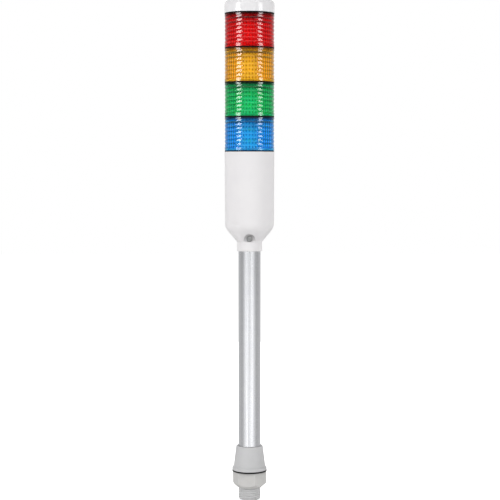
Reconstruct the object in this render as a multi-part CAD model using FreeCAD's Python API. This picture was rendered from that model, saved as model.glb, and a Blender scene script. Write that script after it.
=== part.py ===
"""Signal tower: four coloured light modules on a housing, carried by a tube pole and a threaded foot.

Millimetres, +Z up along the tower.  The origin is on that axis, in the plane where the panel gasket
meets the panel.  The front, with the clamp screw's pocket and the index marks, faces -Y.

Each light module is a ribbed lens on a dark base plate.  The plate's plug turns in the bayonet socket
of the piece below and presses its contact blades on the ring board there.
"""
import FreeCAD
import Part
import math
import os
from FreeCAD import Vector

# Fits
SNUG_GAP = 0.05            # radial, a piece pushed into its seat and held there
THREAD_GAP = 0.08          # radial, nut over stud
TURN_GAP = 0.3             # radial, plug in its bayonet socket
SLOT_GAP = 0.2             # all round a lug in its slot
EDGE_GAP = 0.15            # radial, rings and plates laid inside a recess
BLADE_GAP = 0.05           # contact blade above its ring board

# Threaded foot of the pole
STUD_R = 11.0
STUD_LENGTH = 28.8         # below the panel seat
STUD_END_ROUND = 2.5
THREAD_DEPTH = 0.3         # crests of the free end over the flanks that the nut grips
STUD_WALL = 3.0            # between the crests and the lead's bore
SLEEVE_WALL = 2.25         # round the pole, at the sleeve's top
SLEEVE_TAPER = 2.6         # radial, from the sleeve's top to its foot
SLEEVE_H = 21.3
SLEEVE_EDGE = 0.7
FLANGE_WIDTH = 1.3         # past the sleeve's foot
FLANGE_H = 3.1
FLANGE_EDGE = 0.6
GASKET_PROUD = 0.1         # past the flange
GASKET_H = 1.3

# Hexagonal lock nut
NUT_FLATS = 29.5
NUT_H = 16.3
NUT_TURN = 19.6            # degrees, a corner to the right of the front
NUT_RIM = 0.72             # flat ring at the nut's lower end
NUT_CHAMFER_H = 4.3
NUT_TOP_CHAMFER = 0.7

# Pole
POLE_R = 11.0
POLE_WALL = 1.2
POLE_SHOWN = 195.5         # between the foot's sleeve and the housing

# Housing
NECK_WALL = 1.45           # round the pole
NECK_H = 9.3
NECK_EDGE = 0.5
NECK_ROUND = 1.5
CONE_H = 14.1
SHOULDER_ROUND = 12.0
RIM_PROUD = 0.05           # past the bands of the lenses
BODY_FLARE = 0.35          # radial, from the shoulder to the rim
HOUSING_H = 98.7
POLE_SEAT_H = 16.0
BODY_WALL = 2.2
FLOOR_H = 20.3             # height of the cavity's floor above the housing's lower end
FLOOR_INSET = 7.0          # cavity's floor inside the shoulder
LEDGE_WIDTH = 1.7
LEDGE_H = 1.6

# Pocket of the pole's clamp screw
POCKET_W = 11.4
POCKET_H = 8.2
POCKET_SILL = 0.2          # above the neck
POCKET_WALL = 0.9          # between the pocket's back and the pole
SCREW_R = 1.5
SCREW_REACH = 1.0          # past the pole's wall
SCREW_HEAD_R = 2.9
SCREW_HEAD_H = 1.7
SCREW_HEAD_EDGE = 0.7
SCREW_SLOT_W = 0.8
SCREW_SLOT_DEPTH = 0.9

# Grub screw of the foot's sleeve
GRUB_R = 2.0
GRUB_LENGTH = 3.0
GRUB_H = 11.0              # above the flange
GRUB_KEY = 2.0             # across the key socket's flats
GRUB_KEY_DEPTH = 1.5

# Stack
TIERS = ("blue", "green", "amber", "red")      # from the housing upwards
LENS_R = 24.6
LENS_H = 32.6
BAND_H = 3.3               # plain band at a lens's foot
TOP_BAND_H = 2.0
RIB_COUNT = 7
CREST_INSET = 0.2          # rib crests inside the plain bands
RIB_DEPTH = 0.65
SEAT_WALL = 2.25           # round the recess that takes a base plate
SEAT_H = 2.4
FLUTE_COUNT = 48
FLUTE_WALL = 2.1           # from the plain bands to the flutes' roots
FLUTE_DEPTH = 0.6
SEAL_H = 1.2
SEAL_INSET = 0.15          # inside the bands of the lenses
SEAL_GAP = 0.25            # radial, round the recess's edge
MARK_W = 0.8
MARK_H = 2.2
MARK_PROUD = 0.35

# Bayonet
SOCKET_WALL = 2.5
SOCKET_DEPTH = 3.8
PLUG_WALL = 1.8
PLUG_FLOOR_GAP = 0.6       # below the plug in its socket
LUG_COUNT = 3
FIRST_LUG = 90.0           # degrees from +X, at the back
LUG_ANGLE = 18.0
LUG_PROUD = 1.1
LUG_H = 1.5
LUG_RAISE = 0.4            # above the plug's lower end
UNLOCK_TURN = 25.0         # degrees, from locked to free
TURN_PLAY = 1.0            # degrees, at each end of the slot
PLATE_LIFT = 0.2           # plate above the rim of the piece below
PLATE_H = 3.0

# Light core of a module
COLUMN_FLATS = 18.0
COLUMN_WALL = 1.6
BOARD_R = 12.0
BOARD_H = 1.2
BOARD_DROP = 2.5           # ring board's upper face below the socket's rim
BLADE_W = 2.4
BLADE_T = 0.8
BLADE_COUNT = 4
FIRST_BLADE = 45.0         # degrees from the front
BLADE_R = 5.5              # from the axis to a blade's middle
BLADE_RISE = 1.5           # above the plate
LED_W = 3.5
LED_H = 2.8
LED_PROUD = 1.4
LED_ROWS = 2

# Terminals in the housing
TRAY_H = 2.2
BLOCK_LENGTH = 27.0
BLOCK_DEPTH = 10.0
BLOCK_H = 9.0
CLAMP_COUNT = 5
CLAMP_W = 3.6
CLAMP_H = 4.2
CLAMP_PROUD = 0.4
CLAMP_RISE = 1.5           # above the block's lower face

# Cap
CAP_PROUD = 0.2            # past the bands of the lenses
CAP_H = 13.5
CAP_ROUND = 4.6
CAP_CROWN_R = 260.0
CAP_ROOF = 3.5

# Radii worked out from the sizes above
STUD_NECK_R = STUD_R - THREAD_DEPTH
FOOT_BORE_R = STUD_R - STUD_WALL
NUT_FOOT_R = STUD_R + THREAD_GAP + NUT_RIM
POLE_SEAT_R = POLE_R + SNUG_GAP
SLEEVE_TOP_R = POLE_SEAT_R + SLEEVE_WALL
SLEEVE_FOOT_R = SLEEVE_TOP_R + SLEEVE_TAPER
FLANGE_R = SLEEVE_FOOT_R + FLANGE_WIDTH
GASKET_R = FLANGE_R + GASKET_PROUD
NECK_R = POLE_SEAT_R + NECK_WALL
BODY_TOP_R = LENS_R + RIM_PROUD
BODY_FOOT_R = BODY_TOP_R - BODY_FLARE
FLOOR_R = BODY_FOOT_R - FLOOR_INSET
SOCKET_R = LENS_R - SOCKET_WALL
LEDGE_R = SOCKET_R - LEDGE_WIDTH
RIB_CREST_R = LENS_R - CREST_INSET
RIB_VALLEY_R = RIB_CREST_R - RIB_DEPTH
SEAT_R = LENS_R - SEAT_WALL
PLATE_R = SEAT_R - EDGE_GAP
FLUTE_ROOT_R = LENS_R - FLUTE_WALL
FLUTE_CREST_R = FLUTE_ROOT_R - FLUTE_DEPTH
SEAL_R = LENS_R - SEAL_INSET
CAP_R = LENS_R + CAP_PROUD
PLUG_R = SOCKET_R - TURN_GAP
SLOT_R = PLUG_R + LUG_PROUD + SLOT_GAP
POCKET_BACK = POLE_SEAT_R + POCKET_WALL

# Heights worked out from the sizes above
STUD_END = -STUD_LENGTH
SLEEVE_FOOT = GASKET_H + FLANGE_H
SLEEVE_TOP = SLEEVE_FOOT + SLEEVE_H
HOUSING_FOOT = SLEEVE_TOP + POLE_SHOWN
HOUSING_TOP = HOUSING_FOOT + HOUSING_H
POLE_TOP = HOUSING_FOOT + POLE_SEAT_H
TIER_PITCH = SEAL_H + LENS_H
SEAMS = [HOUSING_TOP + TIER_PITCH * tier for tier in range(len(TIERS) + 1)]
LEDGE_TOP = HOUSING_TOP - SOCKET_DEPTH - TRAY_H
RIB_PITCH = (LENS_H - BAND_H - TOP_BAND_H) / RIB_COUNT
PLUG_DEPTH = SOCKET_DEPTH - PLUG_FLOOR_GAP
SCREW_Z = HOUSING_FOOT + NECK_H + POCKET_SILL + SCREW_HEAD_R + SLOT_GAP
GRUB_Z = SLEEVE_FOOT + GRUB_H

ORIGIN = Vector(0, 0, 0)
UP = Vector(0, 0, 1)
FRONT = Vector(0, -1, 0)
BACK = Vector(0, 1, 0)
SAME = 1e-6
OVERSHOOT = 1.0            # how far a cutting tool runs past the face it opens
HEXAGON = 6


# Shapes

def turned(outline, sweep=360, start=0):
    """Solid that a closed outline of (radius, height) corners makes when turned about the axis."""
    corners = [Vector(radius, 0, height) for radius, height in outline]
    return revolved(Part.makePolygon(corners + corners[:1]), sweep, start)


def revolved(wire, sweep=360, start=0):
    solid = Part.Face(wire).revolve(ORIGIN, UP, sweep)
    solid.rotate(ORIGIN, UP, start)
    return solid


def arc(centre_x, centre_z, radius, start, end):
    """Arc in the XZ plane between two angles from the vertical, in radians."""
    points = [Vector(centre_x + radius * math.sin(angle), 0, centre_z + radius * math.cos(angle))
              for angle in (start, (start + end) / 2, end)]
    return Part.Arc(*points).toShape()


def ring(inner, outer, bottom, top, sweep=360, start=0):
    return turned([(inner, bottom), (outer, bottom), (outer, top), (inner, top)], sweep, start)


def disc(radius, bottom, top):
    return Part.makeCylinder(radius, top - bottom, Vector(0, 0, bottom))


def prism(corners, bottom, top):
    """Upright solid over a closed row of (x, y) corners."""
    points = [Vector(x, y, bottom) for x, y in corners]
    return Part.Face(Part.makePolygon(points + points[:1])).extrude(UP * (top - bottom))


def block(width, depth, height, centre_x, front_y, bottom):
    return Part.makeBox(width, depth, height, Vector(centre_x - width / 2, front_y, bottom))


def polar(radius, degrees):
    angle = math.radians(degrees)
    return (radius * math.cos(angle), radius * math.sin(angle))


def corner_radius(flats):
    """Corner radius of a hexagon of this width across its flats."""
    return flats / 2 / math.cos(math.pi / HEXAGON)


def hexagon(flats, bottom, top, turn=0):
    """Upright hexagon, a flat to the front unless it is turned."""
    corner_r = corner_radius(flats)
    return prism([polar(corner_r, turn + 360 * side / HEXAGON) for side in range(HEXAGON)], bottom, top)


def around(solid, count, first=0):
    """Copies of a solid, evenly spaced about the axis."""
    copies = []
    for number in range(count):
        copy = solid.copy()
        copy.rotate(ORIGIN, UP, first + 360 * number / count)
        copies.append(copy)
    return copies


def rim(solid, radius, height):
    """The circular edges of this radius at this height."""
    return [edge for edge in solid.Edges
            if not edge.Degenerated and isinstance(edge.Curve, Part.Circle)
            and abs(edge.Curve.Radius - radius) < SAME
            and abs(edge.Curve.Center.z - height) < SAME]


# Foot, nut and pole

def pole_foot():
    """Tapered sleeve, flange and stud in one piece, bored for the lead."""
    foot = turned([
        (FOOT_BORE_R, STUD_END), (STUD_R, STUD_END),
        (STUD_R, -NUT_H - SLOT_GAP), (STUD_NECK_R, -NUT_H - SLOT_GAP),
        (STUD_NECK_R, GASKET_H), (FLANGE_R, GASKET_H), (FLANGE_R, SLEEVE_FOOT - FLANGE_EDGE),
        (FLANGE_R - FLANGE_EDGE, SLEEVE_FOOT), (SLEEVE_FOOT_R, SLEEVE_FOOT),
        (SLEEVE_TOP_R, SLEEVE_TOP - SLEEVE_EDGE), (SLEEVE_TOP_R - SLEEVE_EDGE, SLEEVE_TOP),
        (POLE_SEAT_R, SLEEVE_TOP), (POLE_SEAT_R, SLEEVE_FOOT), (FOOT_BORE_R, SLEEVE_FOOT),
    ])
    foot = foot.makeFillet(STUD_END_ROUND, rim(foot, STUD_R, STUD_END))
    grub_hole = Part.makeCylinder(GRUB_R + SNUG_GAP, SLEEVE_FOOT_R, Vector(0, 0, GRUB_Z), BACK)
    return foot.cut(grub_hole)


def grub_screw():
    screw = Part.makeCylinder(GRUB_R, GRUB_LENGTH, Vector(0, POLE_SEAT_R, GRUB_Z), BACK)
    key = hexagon(GRUB_KEY, 0, GRUB_KEY_DEPTH + OVERSHOOT)
    key.rotate(ORIGIN, Vector(1, 0, 0), -90)
    key.translate(Vector(0, POLE_SEAT_R + GRUB_LENGTH - GRUB_KEY_DEPTH, GRUB_Z))
    return screw.cut(key)


def panel_gasket():
    return ring(STUD_R + EDGE_GAP, GASKET_R, 0, GASKET_H)


def lock_nut():
    """Hexagon with a deep lower chamfer, bored over the stud's crests."""
    corner_r = corner_radius(NUT_FLATS)
    blank = hexagon(NUT_FLATS, -NUT_H, 0, NUT_TURN - 90)
    envelope = turned([
        (0, -NUT_H), (NUT_FOOT_R, -NUT_H), (corner_r, -NUT_H + NUT_CHAMFER_H),
        (corner_r, -NUT_TOP_CHAMFER), (corner_r - NUT_TOP_CHAMFER, 0), (0, 0),
    ])
    return blank.common(envelope).cut(disc(STUD_R + THREAD_GAP, -NUT_H - OVERSHOOT, OVERSHOOT))


def pole():
    tube = ring(POLE_R - POLE_WALL, POLE_R, SLEEVE_FOOT, POLE_TOP)
    screw_hole = Part.makeCylinder(SCREW_R + SNUG_GAP, POLE_R + OVERSHOOT, Vector(0, 0, SCREW_Z), FRONT)
    return tube.cut(screw_hole)


# Bayonet and modules

def bayonet_socket(top):
    """Cutting tool for the bore under a rim, with the slots that lock and release the lugs."""
    low = top - PLUG_DEPTH + LUG_RAISE - SLOT_GAP
    high = low + LUG_H + 2 * SLOT_GAP
    inner = SOCKET_R - OVERSHOOT
    lug_start = -LUG_ANGLE / 2 - TURN_PLAY
    lug_sweep = LUG_ANGLE + 2 * TURN_PLAY
    run = ring(inner, SLOT_R, low, high, lug_sweep + UNLOCK_TURN, lug_start)
    entry = ring(inner, SLOT_R, low, top + OVERSHOOT, lug_sweep, lug_start + UNLOCK_TURN)
    slots = around(run.fuse(entry), LUG_COUNT, FIRST_LUG)
    return disc(SOCKET_R, top - SOCKET_DEPTH, top + OVERSHOOT).fuse(slots)


def base_plate(seam):
    """Dark plate above a seam, its plug and lugs in the socket below, slotted for the contact blades."""
    foot = seam - PLUG_DEPTH
    plate_foot = seam + PLATE_LIFT
    body = turned([
        (PLUG_R - PLUG_WALL, foot), (PLUG_R, foot), (PLUG_R, plate_foot), (PLATE_R, plate_foot),
        (PLATE_R, plate_foot + PLATE_H), (0, plate_foot + PLATE_H), (0, plate_foot),
        (PLUG_R - PLUG_WALL, plate_foot),
    ])
    lug_foot = foot + LUG_RAISE
    lug = ring(PLUG_R - PLUG_WALL / 2, PLUG_R + LUG_PROUD, lug_foot, lug_foot + LUG_H,
               LUG_ANGLE, -LUG_ANGLE / 2)
    slot = blade(plate_foot - OVERSHOOT, plate_foot + PLATE_H + OVERSHOOT, SNUG_GAP)
    return body.fuse(around(lug, LUG_COUNT, FIRST_LUG)).cut(around(slot, BLADE_COUNT, FIRST_BLADE))


def blade(bottom, top, margin=0):
    return block(BLADE_W + 2 * margin, BLADE_T + 2 * margin, top - bottom,
                 0, -BLADE_R - BLADE_T / 2 - margin, bottom)


def contact_blades(seam):
    bottom = seam - BOARD_DROP + BLADE_GAP
    top = seam + PLATE_LIFT + PLATE_H + BLADE_RISE
    return Part.makeCompound(around(blade(bottom, top), BLADE_COUNT, FIRST_BLADE))


def ring_board(rim_height):
    top = rim_height - BOARD_DROP
    return disc(BOARD_R, top - BOARD_H, top)


def led_column(seam):
    """Hexagonal column of circuit boards between a plate and its ring board."""
    bottom = seam + PLATE_LIFT + PLATE_H
    top = seam + TIER_PITCH - BOARD_DROP - BOARD_H
    hollow = hexagon(COLUMN_FLATS - 2 * COLUMN_WALL, bottom - OVERSHOOT, top + OVERSHOOT)
    return hexagon(COLUMN_FLATS, bottom, top).cut(hollow)


def leds(seam):
    """Light-emitting diodes on the column's six faces."""
    bottom = seam + PLATE_LIFT + PLATE_H
    top = seam + TIER_PITCH - BOARD_DROP - BOARD_H
    chips = []
    for row in range(LED_ROWS):
        centre = bottom + (top - bottom) * (row + 0.5) / LED_ROWS
        chip = block(LED_W, LED_PROUD, LED_H, 0, -COLUMN_FLATS / 2 - LED_PROUD, centre - LED_H / 2)
        chips += around(chip, HEXAGON)
    return Part.makeCompound(chips)


def seal(seam):
    return ring(SEAT_R + SEAL_GAP, SEAL_R, seam, seam + SEAL_H)


def lens(seam):
    """Ribbed outside, fluted inside, with a seat for its plate below and a bayonet socket above."""
    foot = seam + SEAL_H
    top = foot + LENS_H
    outline = [(0, foot), (LENS_R, foot), (LENS_R, foot + BAND_H)]
    for rib in range(RIB_COUNT):
        start = foot + BAND_H + rib * RIB_PITCH
        outline += [(RIB_VALLEY_R, start), (RIB_CREST_R, start + RIB_PITCH / 2)]
    ribs_top = top - TOP_BAND_H
    outline += [(RIB_VALLEY_R, ribs_top), (LENS_R, ribs_top), (LENS_R, top), (0, top)]
    mark = block(MARK_W, LENS_R, MARK_H, 0, -LENS_R - MARK_PROUD, foot + (BAND_H - MARK_H) / 2)
    flutes = []
    for flute in range(FLUTE_COUNT):
        flutes.append(polar(FLUTE_ROOT_R, 360 * flute / FLUTE_COUNT))
        flutes.append(polar(FLUTE_CREST_R, 360 * (flute + 0.5) / FLUTE_COUNT))
    body = turned(outline).fuse(mark)
    body = body.cut(disc(SEAT_R, foot - OVERSHOOT, foot + SEAT_H))
    body = body.cut(prism(flutes, foot + SEAT_H, top - SOCKET_DEPTH))
    return body.cut(bayonet_socket(top))


# Housing

def base_housing():
    """Neck, cone and body in one moulding, with the pole's seat below and a bayonet socket above."""
    cone_foot = HOUSING_FOOT + NECK_H
    shoulder = cone_foot + CONE_H
    shell = turned([
        (0, HOUSING_FOOT), (NECK_R - NECK_EDGE, HOUSING_FOOT), (NECK_R, HOUSING_FOOT + NECK_EDGE),
        (NECK_R, cone_foot), (BODY_FOOT_R, shoulder), (BODY_TOP_R, HOUSING_TOP), (0, HOUSING_TOP),
    ])
    shell = shell.makeFillet(SHOULDER_ROUND, rim(shell, BODY_FOOT_R, shoulder))
    shell = shell.makeFillet(NECK_ROUND, rim(shell, NECK_R, cone_foot))
    floor = HOUSING_FOOT + FLOOR_H
    inner_r = BODY_FOOT_R - BODY_WALL
    cavity = turned([
        (0, floor), (FLOOR_R, floor), (inner_r, shoulder + BODY_WALL),
        (inner_r, LEDGE_TOP - LEDGE_H), (LEDGE_R, LEDGE_TOP - LEDGE_H), (LEDGE_R, LEDGE_TOP),
        (SOCKET_R, LEDGE_TOP), (SOCKET_R, HOUSING_TOP), (0, HOUSING_TOP),
    ])
    shell = shell.cut(cavity)
    shell = shell.cut(bayonet_socket(HOUSING_TOP))
    shell = shell.cut(disc(POLE_SEAT_R, HOUSING_FOOT - OVERSHOOT, POLE_TOP))
    shell = shell.cut(disc(POLE_R - POLE_WALL, HOUSING_FOOT, floor + OVERSHOOT))
    shell = shell.cut(screw_pocket())
    screw_hole = Part.makeCylinder(SCREW_R + SNUG_GAP, NECK_R + OVERSHOOT, Vector(0, 0, SCREW_Z), FRONT)
    return shell.cut(screw_hole)


def screw_pocket():
    """Cutting tool with a flat sill and an arched top, run in from the front."""
    sill = HOUSING_FOOT + NECK_H + POCKET_SILL
    half = POCKET_W / 2
    spring = sill + POCKET_H - half
    out = -BODY_TOP_R - OVERSHOOT
    left = Vector(-half, out, spring)
    right = Vector(half, out, spring)
    arch = Part.Arc(right, Vector(0, out, spring + half), left).toShape()
    sides = Part.makePolygon([left, Vector(-half, out, sill), Vector(half, out, sill), right])
    face = Part.Face(Part.Wire(sides.Edges + [arch]))
    return face.extrude(BACK * (-out - POCKET_BACK))


def clamp_screw():
    """Slotted pan-head screw, from the pocket into the pole."""
    reach = POCKET_BACK - POLE_R + POLE_WALL + SCREW_REACH
    screw = turned([
        (0, -reach), (SCREW_R, -reach), (SCREW_R, 0), (SCREW_HEAD_R, 0),
        (SCREW_HEAD_R, SCREW_HEAD_H - SCREW_HEAD_EDGE),
        (SCREW_HEAD_R - SCREW_HEAD_EDGE, SCREW_HEAD_H), (0, SCREW_HEAD_H),
    ])
    screw.rotate(ORIGIN, Vector(1, 0, 0), 90)
    screw.translate(Vector(0, -POCKET_BACK, SCREW_Z))
    slot = block(2 * SCREW_HEAD_R, SCREW_SLOT_DEPTH + OVERSHOOT, SCREW_SLOT_W, 0,
                 -POCKET_BACK - SCREW_HEAD_H - OVERSHOOT, SCREW_Z - SCREW_SLOT_W / 2)
    return screw.cut(slot)


def terminal_tray():
    """Disc on the housing's ledge, with a boss that carries the lowest ring board."""
    boss_top = HOUSING_TOP - BOARD_DROP - BOARD_H
    return disc(SOCKET_R - EDGE_GAP, LEDGE_TOP, LEDGE_TOP + TRAY_H - EDGE_GAP).fuse(
        disc(BOARD_R - EDGE_GAP, LEDGE_TOP, boss_top))


def terminal_block():
    return block(BLOCK_LENGTH, BLOCK_DEPTH, BLOCK_H, 0, -BLOCK_DEPTH / 2, LEDGE_TOP - BLOCK_H)


def wire_clamps():
    """Cage clamps along the block's front."""
    bottom = LEDGE_TOP - BLOCK_H + CLAMP_RISE
    clamps = []
    for number in range(CLAMP_COUNT):
        across = BLOCK_LENGTH * ((number + 0.5) / CLAMP_COUNT - 0.5)
        clamps.append(block(CLAMP_W, CLAMP_PROUD, CLAMP_H, across, -BLOCK_DEPTH / 2 - CLAMP_PROUD, bottom))
    return Part.makeCompound(clamps)


# Cap

def head_cap():
    """Shallow crowned cap, hollow below, on the same seat as a lens."""
    foot = SEAMS[-1] + SEAL_H
    top = foot + CAP_H
    corner_x = CAP_R - CAP_ROUND
    crown_z = top - CAP_CROWN_R
    meeting = math.asin(corner_x / (CAP_CROWN_R - CAP_ROUND))
    corner_z = crown_z + (CAP_CROWN_R - CAP_ROUND) * math.cos(meeting)
    side = Part.makePolygon([Vector(0, 0, top), Vector(0, 0, foot), Vector(CAP_R, 0, foot),
                             Vector(CAP_R, 0, corner_z)])
    corner = arc(corner_x, corner_z, CAP_ROUND, math.pi / 2, meeting)
    crown = arc(0, crown_z, CAP_CROWN_R, meeting, 0)
    shell = revolved(Part.Wire(side.Edges + [corner, crown]))
    return shell.cut(disc(SEAT_R, foot - OVERSHOOT, top - CAP_ROOF))


def build():
    """Every piece under its name."""
    pieces = {
        "pole_foot": pole_foot(),
        "foot_grub_screw": grub_screw(),
        "panel_gasket": panel_gasket(),
        "lock_nut": lock_nut(),
        "pole": pole(),
        "base_housing": base_housing(),
        "pole_clamp_screw": clamp_screw(),
        "terminal_tray": terminal_tray(),
        "terminal_block": terminal_block(),
        "wire_clamps": wire_clamps(),
        "base_ring_board": ring_board(HOUSING_TOP),
    }
    for colour, seam in zip(TIERS, SEAMS):
        pieces[colour + "_seal"] = seal(seam)
        pieces[colour + "_base_plate"] = base_plate(seam)
        pieces[colour + "_contact_blades"] = contact_blades(seam)
        pieces[colour + "_led_column"] = led_column(seam)
        pieces[colour + "_leds"] = leds(seam)
        pieces[colour + "_ring_board"] = ring_board(seam + TIER_PITCH)
        pieces[colour + "_lens"] = lens(seam)
    pieces["cap_seal"] = seal(SEAMS[-1])
    pieces["cap_base_plate"] = base_plate(SEAMS[-1])
    pieces["head_cap"] = head_cap()
    return pieces


os.makedirs("parts", exist_ok=True)
for name, shape in build().items():
    shape.exportStep("parts/" + name + ".step")
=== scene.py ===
"""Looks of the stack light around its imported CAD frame.  +Z is up, and the front is at -Y.

Sizes of pieces are in millimetres and become metres times MM.  Shaders, lamps and the camera are in metres.
"""
import math

import bmesh
import bpy
from mathutils import Matrix, Vector


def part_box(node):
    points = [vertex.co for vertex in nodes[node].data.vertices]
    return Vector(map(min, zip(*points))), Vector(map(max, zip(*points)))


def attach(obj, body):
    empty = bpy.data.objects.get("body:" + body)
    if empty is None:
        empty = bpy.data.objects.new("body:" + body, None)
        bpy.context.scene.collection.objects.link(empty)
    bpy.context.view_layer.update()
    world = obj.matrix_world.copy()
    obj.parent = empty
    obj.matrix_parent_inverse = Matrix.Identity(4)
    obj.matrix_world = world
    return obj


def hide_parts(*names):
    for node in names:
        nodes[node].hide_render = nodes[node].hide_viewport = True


MM = 0.001
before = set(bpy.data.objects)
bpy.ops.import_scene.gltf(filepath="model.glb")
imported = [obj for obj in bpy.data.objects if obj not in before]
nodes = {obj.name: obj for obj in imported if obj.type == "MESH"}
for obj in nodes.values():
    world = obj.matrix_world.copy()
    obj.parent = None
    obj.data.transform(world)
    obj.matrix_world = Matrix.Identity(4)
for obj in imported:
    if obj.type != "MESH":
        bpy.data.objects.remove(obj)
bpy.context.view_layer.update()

TIERS = ("blue", "green", "amber", "red")      # from the housing upwards
FRONT = -90                 # degrees from +X
BACK = 90


# Sizes of the pieces that are made here, in millimetres unless stated

SHARP_ANGLE = 35.0          # degrees; steeper edges are shaded sharp

LENS_R = 24.6
LENS_EDGE = 0.15            # chamfer of its outer edges
BAND_H = 3.3                # plain band at its foot
TOP_BAND_H = 2.0
BAND_SLOPE = 0.1            # height over which a plain band meets the ribs
RIBS = 7
CREST_R = 24.5
VALLEY_R = 24.05
RIB_POWER = 1.6             # 1 would give straight flanks, and 2 a parabola
RIB_STEPS = 8
FLUTES = 48
FLUTE_R = 22.2              # middle of the flutes
FLUTE_DEPTH = 0.3           # to either side of that
SEAT_R = 22.35              # recess for the base plate, at the lens's foot
SEAT_H = 2.4
SOCKET_R = 22.1             # rim that takes the next tier's plug
SOCKET_DEPTH = 3.8
RIM_SHADE_FULL = 0.8              # below the lens's top, where the rim's painted shade is full
SLOT_R = 23.1
SLOT_FOOT = 3.0             # a bayonet slot's lower and upper faces, below the lens's top
SLOT_HEAD = 1.1
SLOT_STEP = 0.02            # height over which a slot opens
SLOT_SPACING = 120          # degrees, with one slot at the back
LUG_HALF = 10               # degrees, half a lug and its play
UNLOCK_TURN = 25            # degrees
MARK_FOOT = 0.5             # index mark, above the lens's foot
MARK_TOP = 2.72
MARK_EDGE = 0.12
MARK_PROUD = 0.35
MARK_FACE = 0.93            # degrees from the front to the edge of its face
MARK_BASE = 1.15            # degrees from the front to its base
LENS_STEPS = 240

THREAD_PITCH = 2.5
THREAD_CREST = 11.0
THREAD_ROOT = 10.25
THREAD_TOP = -1.2           # height at which the thread ends, under the flange
ROOT_HALF = 0.1             # half the root's flat, as a share of the pitch
FLANK = 0.28                # a flank, as a share of the pitch
THREAD_STEP = 0.25          # between rows
FIRST_STEP = 0.2
BORE_R = 8.0
BORE_EDGE = 0.3
END_ROUND = 2.5
GASKET_H = 1.3
FLANGE_R = 17.2
FLANGE_TOP = 4.4
SLEEVE_FOOT_R = 15.9
SLEEVE_TOP_R = 13.3
POLE_SEAT_R = 11.05
FOOT_STEPS = 128
GRUB_HOLE_R = 2.05
DRILL_LENGTH = 20.0


def lens_heights(tier):
    """A lens's foot, the foot and the top of its ribs, and its top."""
    low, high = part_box(tier + "_lens")
    foot, top = low.z / MM, high.z / MM
    return foot, foot + BAND_H, top - TOP_BAND_H, top


# Shader helpers

def feed(tree, value, socket):
    """Links an output to the socket, or sets a colour or a number on it."""
    if isinstance(value, bpy.types.NodeSocket):
        tree.links.new(value, socket)
    elif isinstance(value, tuple):
        socket.default_value = (*value, 1.0)
    else:
        socket.default_value = value


def new_material(name):
    """A material, its tree and shader, and the object's own coordinates in metres."""
    made = bpy.data.materials.new(name)
    made.use_nodes = True
    tree = made.node_tree
    shader = tree.nodes["Principled BSDF"]
    place = tree.nodes.new("ShaderNodeTexCoord").outputs["Object"]
    return made, tree, shader, place


def calculated(tree, operation, *values):
    """Result of a math node; the values are numbers or outputs."""
    node = tree.nodes.new("ShaderNodeMath")
    node.operation = operation
    for socket, value in zip(node.inputs, values):
        feed(tree, value, socket)
    return node.outputs[0]


def split_axes(tree, vector):
    node = tree.nodes.new("ShaderNodeSeparateXYZ")
    tree.links.new(vector, node.inputs[0])
    return node.outputs


def stretched(tree, place, scale):
    mapping = tree.nodes.new("ShaderNodeMapping")
    mapping.inputs["Scale"].default_value = scale
    tree.links.new(place, mapping.inputs["Vector"])
    return mapping.outputs["Vector"]


def noise(tree, place, scale, detail=2.0, roughness=0.5):
    node = tree.nodes.new("ShaderNodeTexNoise")
    node.inputs["Scale"].default_value = scale
    node.inputs["Detail"].default_value = detail
    node.inputs["Roughness"].default_value = roughness
    tree.links.new(place, node.inputs["Vector"])
    return node.outputs["Fac"]


def spread(tree, factor, low, high, start=0.3, end=0.7):
    """Maps a factor from start..end to low..high."""
    node = tree.nodes.new("ShaderNodeMapRange")
    node.inputs["From Min"].default_value = start
    node.inputs["From Max"].default_value = end
    node.inputs["To Min"].default_value = low
    node.inputs["To Max"].default_value = high
    tree.links.new(factor, node.inputs["Value"])
    return node.outputs["Result"]


def blend_colours(tree, factor, first, second):
    """First colour at factor 0, second at 1; each is a tuple or an output."""
    node = tree.nodes.new("ShaderNodeMix")
    node.data_type = "RGBA"
    tree.links.new(factor, node.inputs["Factor"])
    feed(tree, first, node.inputs[6])
    feed(tree, second, node.inputs[7])
    return node.outputs[2]


def bumped(tree, height, distance, normal):
    """Normal that rises and falls with the height, by up to the distance."""
    node = tree.nodes.new("ShaderNodeBump")
    node.inputs["Strength"].default_value = 1.0
    node.inputs["Distance"].default_value = distance
    tree.links.new(height, node.inputs["Height"])
    tree.links.new(normal, node.inputs["Normal"])
    return node.outputs["Normal"]


def rounded_normal(tree, radius):
    """Normal that shows edges as rounded by the radius."""
    node = tree.nodes.new("ShaderNodeBevel")
    node.samples = 4
    node.inputs["Radius"].default_value = radius
    return node.outputs["Normal"]


def edge_mask(tree, radius):
    """1 on worn edges and 0 on flat faces."""
    true_normal = tree.nodes.new("ShaderNodeNewGeometry").outputs["Normal"]
    dot = tree.nodes.new("ShaderNodeVectorMath")
    dot.operation = "DOT_PRODUCT"
    tree.links.new(rounded_normal(tree, radius), dot.inputs[0])
    tree.links.new(true_normal, dot.inputs[1])
    return spread(tree, dot.outputs["Value"], 1.0, 0.0, 0.80, 0.995)


# Materials

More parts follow.
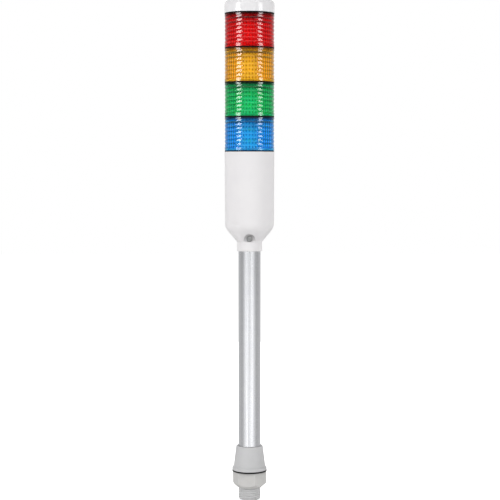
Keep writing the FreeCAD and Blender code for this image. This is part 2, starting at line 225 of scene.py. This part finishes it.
def plastic(name, colour, shade, rough, grain, grain_depth, bevel=0.0002, wear=None, specular=0.5,
            top_rough=None, recess_shade=None):
    """Moulded plastic with cloudy colour, uneven gloss and a fine grain.

    Where asked, its edges show wear, its recesses painted shade from ambient occlusion, and its upward faces
    are matt.
    """
    made, tree, shader, place = new_material(name)
    cloud = noise(tree, place, 60.0, 3.0)
    body = blend_colours(tree, spread(tree, cloud, 0.0, 1.0), colour, shade)
    if wear is not None:
        scuffs = noise(tree, place, 900.0, 4.0, 0.7)
        scuffed = spread(tree, scuffs, 0.0, 1.0, 0.4, 0.6)
        worn = calculated(tree, "MULTIPLY", edge_mask(tree, bevel * 2), scuffed)
        body = blend_colours(tree, worn, body, wear)
    if recess_shade is not None:
        # Painted shade: the colour darkens where ambient occlusion finds the surface closed in, as in the
        # housing's pocket.
        occlusion = tree.nodes.new("ShaderNodeAmbientOcclusion")
        occlusion.samples = 8
        occlusion.inputs["Distance"].default_value = 0.006
        recess_shade_mask = spread(tree, occlusion.outputs["AO"], 1.0, 0.0, 0.45, 0.8)
        body = blend_colours(tree, recess_shade_mask, body, recess_shade)
    tree.links.new(body, shader.inputs["Base Color"])
    smears = noise(tree, place, 220.0, 4.0, 0.6)
    gloss = spread(tree, smears, rough * 0.85, rough * 1.15)
    if top_rough is not None:
        normal = tree.nodes.new("ShaderNodeTexCoord").outputs["Normal"]
        matt = spread(tree, split_axes(tree, normal)["Z"], 0.0, top_rough, 0.75, 0.95)
        gloss = calculated(tree, "MAXIMUM", gloss, matt)
    tree.links.new(gloss, shader.inputs["Roughness"])
    shader.inputs["Specular IOR Level"].default_value = specular
    fine = noise(tree, place, grain)
    tree.links.new(bumped(tree, fine, grain_depth, rounded_normal(tree, bevel)), shader.inputs["Normal"])
    return made


def metal(name, colour, shade, rough, streaks, depth, bevel=0.0001):
    """Metal whose scratches run along the axis with the lowest scale in streaks."""
    made, tree, shader, place = new_material(name)
    shader.inputs["Metallic"].default_value = 1.0
    lines = noise(tree, stretched(tree, place, streaks), 1.0, 3.0, 0.6)
    cloud = noise(tree, place, 150.0, 3.0)
    body = blend_colours(tree, spread(tree, cloud, 0.0, 1.0), colour, shade)
    tree.links.new(body, shader.inputs["Base Color"])
    tree.links.new(spread(tree, lines, rough * 0.8, rough * 1.25), shader.inputs["Roughness"])
    tree.links.new(bumped(tree, lines, depth, rounded_normal(tree, bevel)), shader.inputs["Normal"])
    return made


def lens_plastic(tier, colour, dot_shade_colour, rim_shade_colour):
    """Clear coloured plastic with painted shade in the grooves between its ribs, along its flutes and in the
    rim that a plug fills.
    """
    made, tree, shader, place = new_material(tier + "_clear")
    _, ribs_foot, ribs_top, top = lens_heights(tier)
    rib_pitch = (ribs_top - ribs_foot) * MM / RIBS
    rim_shade_start = (top - SOCKET_DEPTH - ribs_foot) * MM
    rim_shade_full = (top - RIM_SHADE_FULL - ribs_foot) * MM

    axes = split_axes(tree, place)
    angle = calculated(tree, "ARCTAN2", axes["Y"], axes["X"])
    height = calculated(tree, "SUBTRACT", axes["Z"], ribs_foot * MM)
    rib_wave = calculated(tree, "COSINE", calculated(tree, "MULTIPLY", height, math.tau / rib_pitch))
    between_ribs = calculated(tree, "MULTIPLY_ADD", rib_wave, 0.5, 0.5)
    flute_wave = calculated(tree, "COSINE", calculated(tree, "MULTIPLY", angle, float(FLUTES)))
    between_flutes = calculated(tree, "POWER", calculated(tree, "MULTIPLY_ADD", flute_wave, 0.5, 0.5), 1.6)
    crossings = calculated(tree, "MULTIPLY", between_flutes, between_ribs)
    cloud = noise(tree, place, 400.0)
    # Painted shade: darker in the grooves between the ribs, along the flutes and most where they cross,
    # standing in for the dots that refraction makes; the cloud adds random tone.
    dot_shade_and_cloud = calculated(tree, "MULTIPLY_ADD", between_ribs, 0.25, crossings)
    dot_shade_and_cloud = calculated(tree, "MULTIPLY_ADD", between_flutes, 0.15, dot_shade_and_cloud)
    dot_shade_and_cloud = calculated(tree, "MULTIPLY_ADD", cloud, 0.3, dot_shade_and_cloud)
    dot_shaded_tint = blend_colours(tree, spread(tree, dot_shade_and_cloud, 0.0, 1.0, 0.35, 1.4), colour, dot_shade_colour)
    # Painted shade: the rim darkens from the socket's floor to its full shade near the top, under the seam
    # where the plug stands behind the wall.
    rim = spread(tree, height, 0.0, 1.0, rim_shade_start, rim_shade_full)
    tree.links.new(blend_colours(tree, rim, dot_shaded_tint, rim_shade_colour), shader.inputs["Base Color"])
    shader.inputs["Transmission Weight"].default_value = 1.0
    shader.inputs["IOR"].default_value = 1.49
    smears = noise(tree, place, 260.0, 3.0)
    tree.links.new(spread(tree, smears, 0.13, 0.18), shader.inputs["Roughness"])
    return made


MATERIALS = {
    "cap": plastic("cap_white", (0.75, 0.74, 0.75), (0.73, 0.725, 0.735), 0.16, 900.0, 0.000004, 0.0004,
                   specular=0.35, top_rough=0.75),
    # The housing gets painted shade in its recesses.
    "housing": plastic("housing_white", (0.77, 0.755, 0.76), (0.75, 0.735, 0.745), 0.42, 1400.0, 0.000008,
                       0.0003, specular=0.35, recess_shade=(0.64, 0.63, 0.63)),
    "grey": plastic("foot_grey", (0.575, 0.575, 0.58), (0.53, 0.53, 0.535), 0.5, 1800.0, 0.00004, 0.0004,
                    wear=(0.68, 0.68, 0.67)),
    "nut": plastic("nut_grey", (0.60, 0.59, 0.575), (0.55, 0.545, 0.535), 0.48, 1800.0, 0.00004, 0.0004,
                   wear=(0.70, 0.70, 0.68)),
    "dark": plastic("plate_grey", (0.42, 0.42, 0.42), (0.36, 0.36, 0.36), 0.45, 1500.0, 0.00002),
    "rubber": plastic("seal_black", (0.006, 0.006, 0.006), (0.011, 0.011, 0.011), 0.6, 1500.0, 0.00002,
                      specular=0.12),
    "terminal": plastic("terminal_green", (0.05, 0.18, 0.09), (0.04, 0.15, 0.08), 0.5, 1500.0, 0.00002),
    "board": plastic("board_white", (0.67, 0.68, 0.655), (0.63, 0.64, 0.615), 0.35, 2500.0, 0.00001),
    "led": plastic("led_resin", (0.85, 0.78, 0.42), (0.80, 0.72, 0.36), 0.2, 2000.0, 0.00001),
    "aluminium": metal("pole_satin", (0.86, 0.87, 0.89), (0.83, 0.84, 0.87), 0.27, (2600.0, 2600.0, 12.0),
                       0.000006),
    "steel": metal("zinc_plate", (0.55, 0.55, 0.54), (0.48, 0.49, 0.5), 0.35, (900.0, 900.0, 900.0), 0.00002),
    "brass": metal("contact_brass", (0.72, 0.53, 0.22), (0.65, 0.46, 0.18), 0.3, (900.0, 900.0, 900.0),
                   0.00001),
    # Each lens: its colour, its painted shade in the grooves and at the crossings, and the painted shade of
    # its rim.
    "red": lens_plastic("red", (0.88, 0.004, 0.006), (0.52, 0.002, 0.003), (0.25, 0.002, 0.002)),
    "amber": lens_plastic("amber", (1.0, 0.62, 0.04), (0.66, 0.30, 0.012), (0.60, 0.24, 0.01)),
    "green": lens_plastic("green", (0.014, 0.72, 0.28), (0.006, 0.36, 0.12), (0.003, 0.13, 0.05)),
    "blue": lens_plastic("blue", (0.03, 0.54, 1.0), (0.012, 0.24, 0.62), (0.005, 0.09, 0.25)),
}

FINISHES = {
    "head_cap": "cap", "base_housing": "housing", "pole_foot": "grey", "lock_nut": "nut",
    "panel_gasket": "rubber", "pole": "aluminium", "foot_grub_screw": "steel", "pole_clamp_screw": "steel",
    "terminal_tray": "dark", "terminal_block": "terminal", "wire_clamps": "brass", "base_ring_board": "board",
    "cap_seal": "rubber", "cap_base_plate": "dark",
}
for tier in TIERS:
    FINISHES.update({
        tier + "_seal": "rubber", tier + "_base_plate": "dark", tier + "_contact_blades": "brass",
        tier + "_led_column": "board", tier + "_leds": "led", tier + "_ring_board": "board",
        tier + "_lens": tier,
    })
for name, finish in FINISHES.items():
    for slot in nodes[name].material_slots:
        slot.material = MATERIALS[finish]


# Turned pieces

def turned_piece(name, angles, rows):
    """Closed piece from rows of (radius, height) that may change with the angle, in millimetres."""
    points = []
    for row in rows:
        for angle in angles:
            radius, height = row(angle)
            points.append((radius * MM * math.cos(angle), radius * MM * math.sin(angle), height * MM))
    count = len(angles)
    faces = []
    for r in range(len(rows)):
        here = r * count
        above = (r + 1) % len(rows) * count
        for a in range(count):
            b = (a + 1) % count
            faces.append((here + a, here + b, above + b, above + a))
    mesh = bpy.data.meshes.new(name)
    mesh.from_pydata(points, [], faces)
    mesh.validate()
    for face in mesh.polygons:
        face.use_smooth = True
    mesh.set_sharp_from_angle(angle=math.radians(SHARP_ANGLE))
    made = bpy.data.objects.new(name, mesh)
    bpy.context.scene.collection.objects.link(made)
    return made


def steady(radius, height):
    """Row that is the same all round."""
    return lambda angle: (radius, height)


def even_angles(count, *extra):
    """Angles round the axis, with extra ones in degrees."""
    angles = {round(math.tau * number / count, 6) for number in range(count)}
    angles |= {round(math.radians(degrees % 360), 6) for degrees in extra}
    return sorted(angles)


def off_front(angle):
    """Degrees from the front, to either side."""
    return abs((math.degrees(angle) - FRONT + 180) % 360 - 180)


def from_slot(angle):
    """Degrees from the locked place of the nearest slot's lug, positive where it unlocks."""
    return (math.degrees(angle) - BACK + SLOT_SPACING / 2) % SLOT_SPACING - SLOT_SPACING / 2


def moulded_lens(tier):
    """Lens with rounded ribs outside, flutes inside and the bayonet slots in its rim."""
    foot, ribs_foot, ribs_top, top = lens_heights(tier)
    socket_floor = top - SOCKET_DEPTH
    seat_top = foot + SEAT_H

    def band(height, marked=False):
        def row(angle):
            on_mark = marked and off_front(angle) < (MARK_FACE + MARK_BASE) / 2
            return (LENS_R + MARK_PROUD if on_mark else LENS_R, height)
        return row

    def flute(height, depth=FLUTE_DEPTH):
        return lambda angle: (FLUTE_R - depth * math.cos(FLUTES * angle), height)

    def slotted(height, start):
        """The rim's wall, open from start degrees to the end of each slot."""
        def row(angle):
            open_here = start <= from_slot(angle) <= UNLOCK_TURN + LUG_HALF
            return (SLOT_R if open_here else SOCKET_R, height)
        return row

    rows = [steady(LENS_R - LENS_EDGE, foot), band(foot + LENS_EDGE)]
    rows += [band(foot + MARK_FOOT), band(foot + MARK_FOOT + MARK_EDGE, True)]
    rows += [band(foot + MARK_TOP - MARK_EDGE, True), band(foot + MARK_TOP)]
    rows.append(band(ribs_foot - BAND_SLOPE))
    pitch = (ribs_top - ribs_foot) / RIBS
    for rib in range(RIBS):
        for step in range(RIB_STEPS):
            across = 2 * step / RIB_STEPS - 1
            radius = VALLEY_R + (CREST_R - VALLEY_R) * (1 - abs(across) ** RIB_POWER)
            rows.append(steady(radius, ribs_foot + (rib + step / RIB_STEPS) * pitch))
    rows.append(steady(VALLEY_R, ribs_top))
    rows += [band(ribs_top + BAND_SLOPE), band(top - LENS_EDGE), steady(LENS_R - LENS_EDGE, top)]
    way_in, way_round = UNLOCK_TURN - LUG_HALF, -LUG_HALF
    rows += [slotted(top, way_in), slotted(top - SLOT_HEAD, way_in)]
    rows += [slotted(top - SLOT_HEAD - SLOT_STEP, way_round), slotted(top - SLOT_FOOT + SLOT_STEP, way_round)]
    rows += [steady(SOCKET_R, top - SLOT_FOOT), steady(SOCKET_R, socket_floor)]
    rows += [flute(socket_floor - 0.4, 0.1), flute(socket_floor - 1.0, 0.2), flute(socket_floor - 1.8)]
    rows += [flute(seat_top + 1.0), flute(seat_top + 0.4, 0.1)]
    rows += [steady(SEAT_R, seat_top), steady(SEAT_R, foot)]
    mark_sides = [FRONT + side * half for half in (MARK_FACE, MARK_BASE) for side in (-1, 1)]
    angles = even_angles(LENS_STEPS, *mark_sides)
    made = turned_piece(tier + "_lens_ribbed", angles, rows)
    made.data.materials.append(MATERIALS[tier])
    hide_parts(tier + "_lens")
    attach(made, tier + "_module")
    made.visible_shadow = False
    return made


def drilled(piece, radius, height):
    """Cuts a round hole from the piece's bore out through its back."""
    mesh = bpy.data.meshes.new("drill")
    shape = bmesh.new()
    length = DRILL_LENGTH * MM
    turn = Matrix.Translation((0.0, length, height)) @ Matrix.Rotation(math.pi / 2, 4, "X")
    bmesh.ops.create_cone(shape, cap_ends=True, segments=32, radius1=radius, radius2=radius, depth=length,
                          matrix=turn)
    shape.to_mesh(mesh)
    shape.free()
    drill = bpy.data.objects.new("drill", mesh)
    bpy.context.scene.collection.objects.link(drill)
    cut = piece.modifiers.new("hole", "BOOLEAN")
    cut.operation = "DIFFERENCE"
    cut.solver = "EXACT"
    cut.object = drill
    bpy.context.view_layer.update()
    whole = bpy.data.meshes.new_from_object(piece.evaluated_get(bpy.context.evaluated_depsgraph_get()))
    piece.modifiers.clear()
    piece.data = whole
    whole.set_sharp_from_angle(angle=math.radians(SHARP_ANGLE))
    bpy.data.objects.remove(drill)


def threaded_foot():
    """The foot with its stud's thread cut, a right-hand one."""
    low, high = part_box("pole_foot")
    end, sleeve_top = low.z / MM, high.z / MM

    def thread(height):
        def row(angle):
            phase = (height / THREAD_PITCH - angle / math.tau) % 1.0
            rise = min(1.0, max(0.0, (abs(phase - 0.5) - ROOT_HALF) / FLANK))
            radius = THREAD_ROOT + (THREAD_CREST - THREAD_ROOT) * rise
            above_end = height - end
            if above_end < END_ROUND:
                inset = END_ROUND - math.sqrt(END_ROUND ** 2 - (END_ROUND - above_end) ** 2)
                radius = min(radius, THREAD_CREST - inset)
            return (radius, height)
        return row

    rows = [steady(THREAD_CREST - END_ROUND, end)]
    height = end + FIRST_STEP
    while height < THREAD_TOP:
        rows.append(thread(height))
        height += THREAD_STEP
    rows += [steady(THREAD_ROOT, THREAD_TOP), steady(THREAD_ROOT, GASKET_H)]
    rows += [steady(FLANGE_R - 0.1, GASKET_H), steady(FLANGE_R, GASKET_H + 0.1)]
    flange_edge = ((0.0, -0.8), (-0.1, -0.45), (-0.35, -0.15), (-0.7, 0.0))
    rows += [steady(FLANGE_R + out, FLANGE_TOP + rise) for out, rise in flange_edge]
    sleeve_foot = ((0.4, 0.05), (0.1, 0.25), (-0.02, 0.55))
    rows += [steady(SLEEVE_FOOT_R + out, FLANGE_TOP + rise) for out, rise in sleeve_foot]
    sleeve_edge = ((0.08, -0.9), (-0.05, -0.5), (-0.3, -0.15), (-0.7, 0.0))
    rows += [steady(SLEEVE_TOP_R + out, sleeve_top + rise) for out, rise in sleeve_edge]
    rows += [steady(POLE_SEAT_R + 0.25, sleeve_top), steady(POLE_SEAT_R, sleeve_top - 0.25)]
    rows += [steady(POLE_SEAT_R, FLANGE_TOP), steady(BORE_R, FLANGE_TOP)]
    rows += [steady(BORE_R, end + BORE_EDGE), steady(BORE_R + BORE_EDGE, end)]
    made = turned_piece("pole_foot_threaded", even_angles(FOOT_STEPS), rows)
    screw_low, screw_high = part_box("foot_grub_screw")
    drilled(made, GRUB_HOLE_R * MM, (screw_low.z + screw_high.z) / 2)
    made.data.materials.append(MATERIALS["grey"])
    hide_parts("pole_foot")
    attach(made, "mast")


lenses = [moulded_lens(tier) for tier in TIERS]
threaded_foot()


# Studio

SOFT_LIGHT = 0.44           # strength of the world on matt surfaces
ROOM_TURN = 2.0             # degrees
FLOOR_REACH = 4.0
FLOOR_GLOW = 0.62           # only where the camera sees the floor itself
LAMP_DISTANCE = 1.3
STRIP_DISTANCE = 1.28
CAMERA_PLACE = (0.0005, -1.43, 0.3057)
CAMERA_AIM = (0.0005, 0.0, 0.22216)
CAMERA_LENS = 103.42        # millimetres, as is the sensor
SENSOR_WIDTH = 36.0

scene = bpy.context.scene
scene.view_settings.view_transform = "Standard"


def greys(tree, factor, stops):
    """Grey levels at places of a factor that runs from -1 to 1."""
    node = tree.nodes.new("ShaderNodeValToRGB")
    tree.links.new(spread(tree, factor, 0.0, 1.0, -1.0, 1.0), node.inputs["Fac"])
    elements = node.color_ramp.elements
    while len(elements) < len(stops):
        elements.new(0.5)
    for element, (position, level) in zip(elements, stops):
        element.position = (position + 1.0) / 2.0
        element.color = (level, level, level, 1.0)
    return node.outputs["Color"]


def mirrored_room(tree):
    """What glossy pieces mirror: a wall and a grey ground below the horizon, and a room above it."""
    turned = tree.nodes.new("ShaderNodeVectorRotate")
    turned.rotation_type = "Z_AXIS"
    turned.inputs["Angle"].default_value = math.radians(ROOM_TURN)
    direction = tree.nodes.new("ShaderNodeTexCoord").outputs["Generated"]
    tree.links.new(direction, turned.inputs["Vector"])
    axes = split_axes(tree, turned.outputs[0])
    back, up = axes["Y"], axes["Z"]
    wall = greys(tree, back, [(-1.0, 1.1), (-0.9, 1.65), (-0.5, 0.75), (-0.2, 0.5), (1.0, 0.6)])
    room = greys(tree, back, [(-1.0, 0.04), (0.0, 0.06), (0.5, 0.15), (0.8, 0.6), (1.0, 1.0)])
    near_level = spread(tree, up, 0.0, 1.0, -0.36, -0.26)
    below = blend_colours(tree, near_level, (0.25, 0.25, 0.25), wall)
    above_horizon = spread(tree, up, 0.0, 1.0, -0.012, 0.012)
    return blend_colours(tree, above_horizon, below, room)


def background(tree, colour, strength=1.0):
    node = tree.nodes.new("ShaderNodeBackground")
    feed(tree, colour, node.inputs["Color"])
    node.inputs["Strength"].default_value = strength
    return node.outputs[0]


def mixed(tree, factor, first, second):
    node = tree.nodes.new("ShaderNodeMixShader")
    tree.links.new(factor, node.inputs["Fac"])
    tree.links.new(first, node.inputs[1])
    tree.links.new(second, node.inputs[2])
    return node.outputs[0]


def white_air():
    """World that is white to the camera, soft light to matt pieces and a room to glossy ones."""
    world = bpy.data.worlds.new("studio_air")
    world.use_nodes = True
    scene.world = world
    tree = world.node_tree
    tree.nodes.clear()
    white = (1.0, 1.0, 1.0)
    path = tree.nodes.new("ShaderNodeLightPath").outputs
    soft = background(tree, white, SOFT_LIGHT)
    lit = mixed(tree, path["Is Glossy Ray"], soft, background(tree, mirrored_room(tree)))
    looked_at = calculated(tree, "MAXIMUM", path["Is Camera Ray"], path["Is Transmission Ray"])
    seen = mixed(tree, looked_at, lit, background(tree, white))
    out = tree.nodes.new("ShaderNodeOutputWorld")
    tree.links.new(seen, out.inputs["Surface"])


def white_floor():
    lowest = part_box("pole_foot")[0].z
    corners = [(x * FLOOR_REACH, y * FLOOR_REACH, lowest) for x, y in ((-1, -1), (1, -1), (1, 1), (-1, 1))]
    mesh = bpy.data.meshes.new("floor")
    mesh.from_pydata(corners, [], [(0, 1, 2, 3)])
    floor = bpy.data.objects.new("floor", mesh)
    scene.collection.objects.link(floor)
    made, tree, shader, _ = new_material("floor_white")
    shader.inputs["Base Color"].default_value = (0.93, 0.93, 0.93, 1.0)
    shader.inputs["Roughness"].default_value = 0.8
    shader.inputs["Specular IOR Level"].default_value = 0.0
    shader.inputs["Emission Color"].default_value = (1.0, 1.0, 1.0, 1.0)
    by_camera = tree.nodes.new("ShaderNodeLightPath").outputs["Is Camera Ray"]
    tree.links.new(calculated(tree, "MULTIPLY", by_camera, FLOOR_GLOW), shader.inputs["Emission Strength"])
    mesh.materials.append(made)
    floor.visible_glossy = False


def softbox(name, azimuth, foot, width, tall, power, mirrored_in=None):
    """Upright lamp that gives soft light or, where pieces are named, only its mirror image in them."""
    glossy = mirrored_in is not None
    distance = STRIP_DISTANCE if glossy else LAMP_DISTANCE
    data = bpy.data.lights.new(name, "AREA")
    data.shape = "RECTANGLE"
    data.size = width
    data.size_y = tall
    data.energy = power
    lamp = bpy.data.objects.new(name, data)
    angle = math.radians(azimuth)
    lamp.location = (distance * math.sin(angle), -distance * math.cos(angle), foot + tall / 2)
    aim = Vector((0.0, 0.0, lamp.location.z)) - lamp.location
    lamp.rotation_euler = aim.to_track_quat("-Z", "Y").to_euler()
    lamp.visible_glossy = glossy
    lamp.visible_diffuse = not glossy
    lamp.visible_transmission = False
    scene.collection.objects.link(lamp)
    if glossy:
        receivers = bpy.data.collections.new(name + "_receivers")
        for piece in mirrored_in:
            receivers.objects.link(piece)
        lamp.light_linking.receiver_collection = receivers


def overhead_lamp():
    data = bpy.data.lights.new("overhead", "AREA")
    data.shape = "DISK"
    data.size = 1.2
    data.energy = 2.0
    lamp = bpy.data.objects.new("overhead", data)
    lamp.location = (0.0, -0.2, 1.6)
    lamp.visible_glossy = False
    scene.collection.objects.link(lamp)


def front_camera():
    data = bpy.data.cameras.new("camera")
    data.lens = CAMERA_LENS
    data.sensor_width = SENSOR_WIDTH
    camera = bpy.data.objects.new("camera", data)
    camera.location = CAMERA_PLACE
    aim = Vector(CAMERA_AIM) - camera.location
    camera.rotation_euler = aim.to_track_quat("-Z", "Y").to_euler()
    scene.collection.objects.link(camera)
    scene.camera = camera


white_air()
white_floor()
softbox("soft_left", -53.0, 0.33, 0.48, 1.0, 11.2)
softbox("soft_right", 54.0, 0.33, 0.44, 1.0, 9.0)
softbox("strip_left", -52.5, 0.33, 0.50, 1.4, 26.0, lenses)
softbox("strip_right", 53.0, 0.33, 0.44, 1.4, 18.0, lenses)
softbox("cap_strip_left", -52.5, 0.54, 0.50, 0.13, 2.6, [nodes["head_cap"]])
softbox("cap_strip_right", 53.0, 0.54, 0.44, 0.13, 1.75, [nodes["head_cap"]])
softbox("soft_back", 180.0, 0.0, 0.5, 1.2, 5.5)
overhead_lamp()
front_camera()
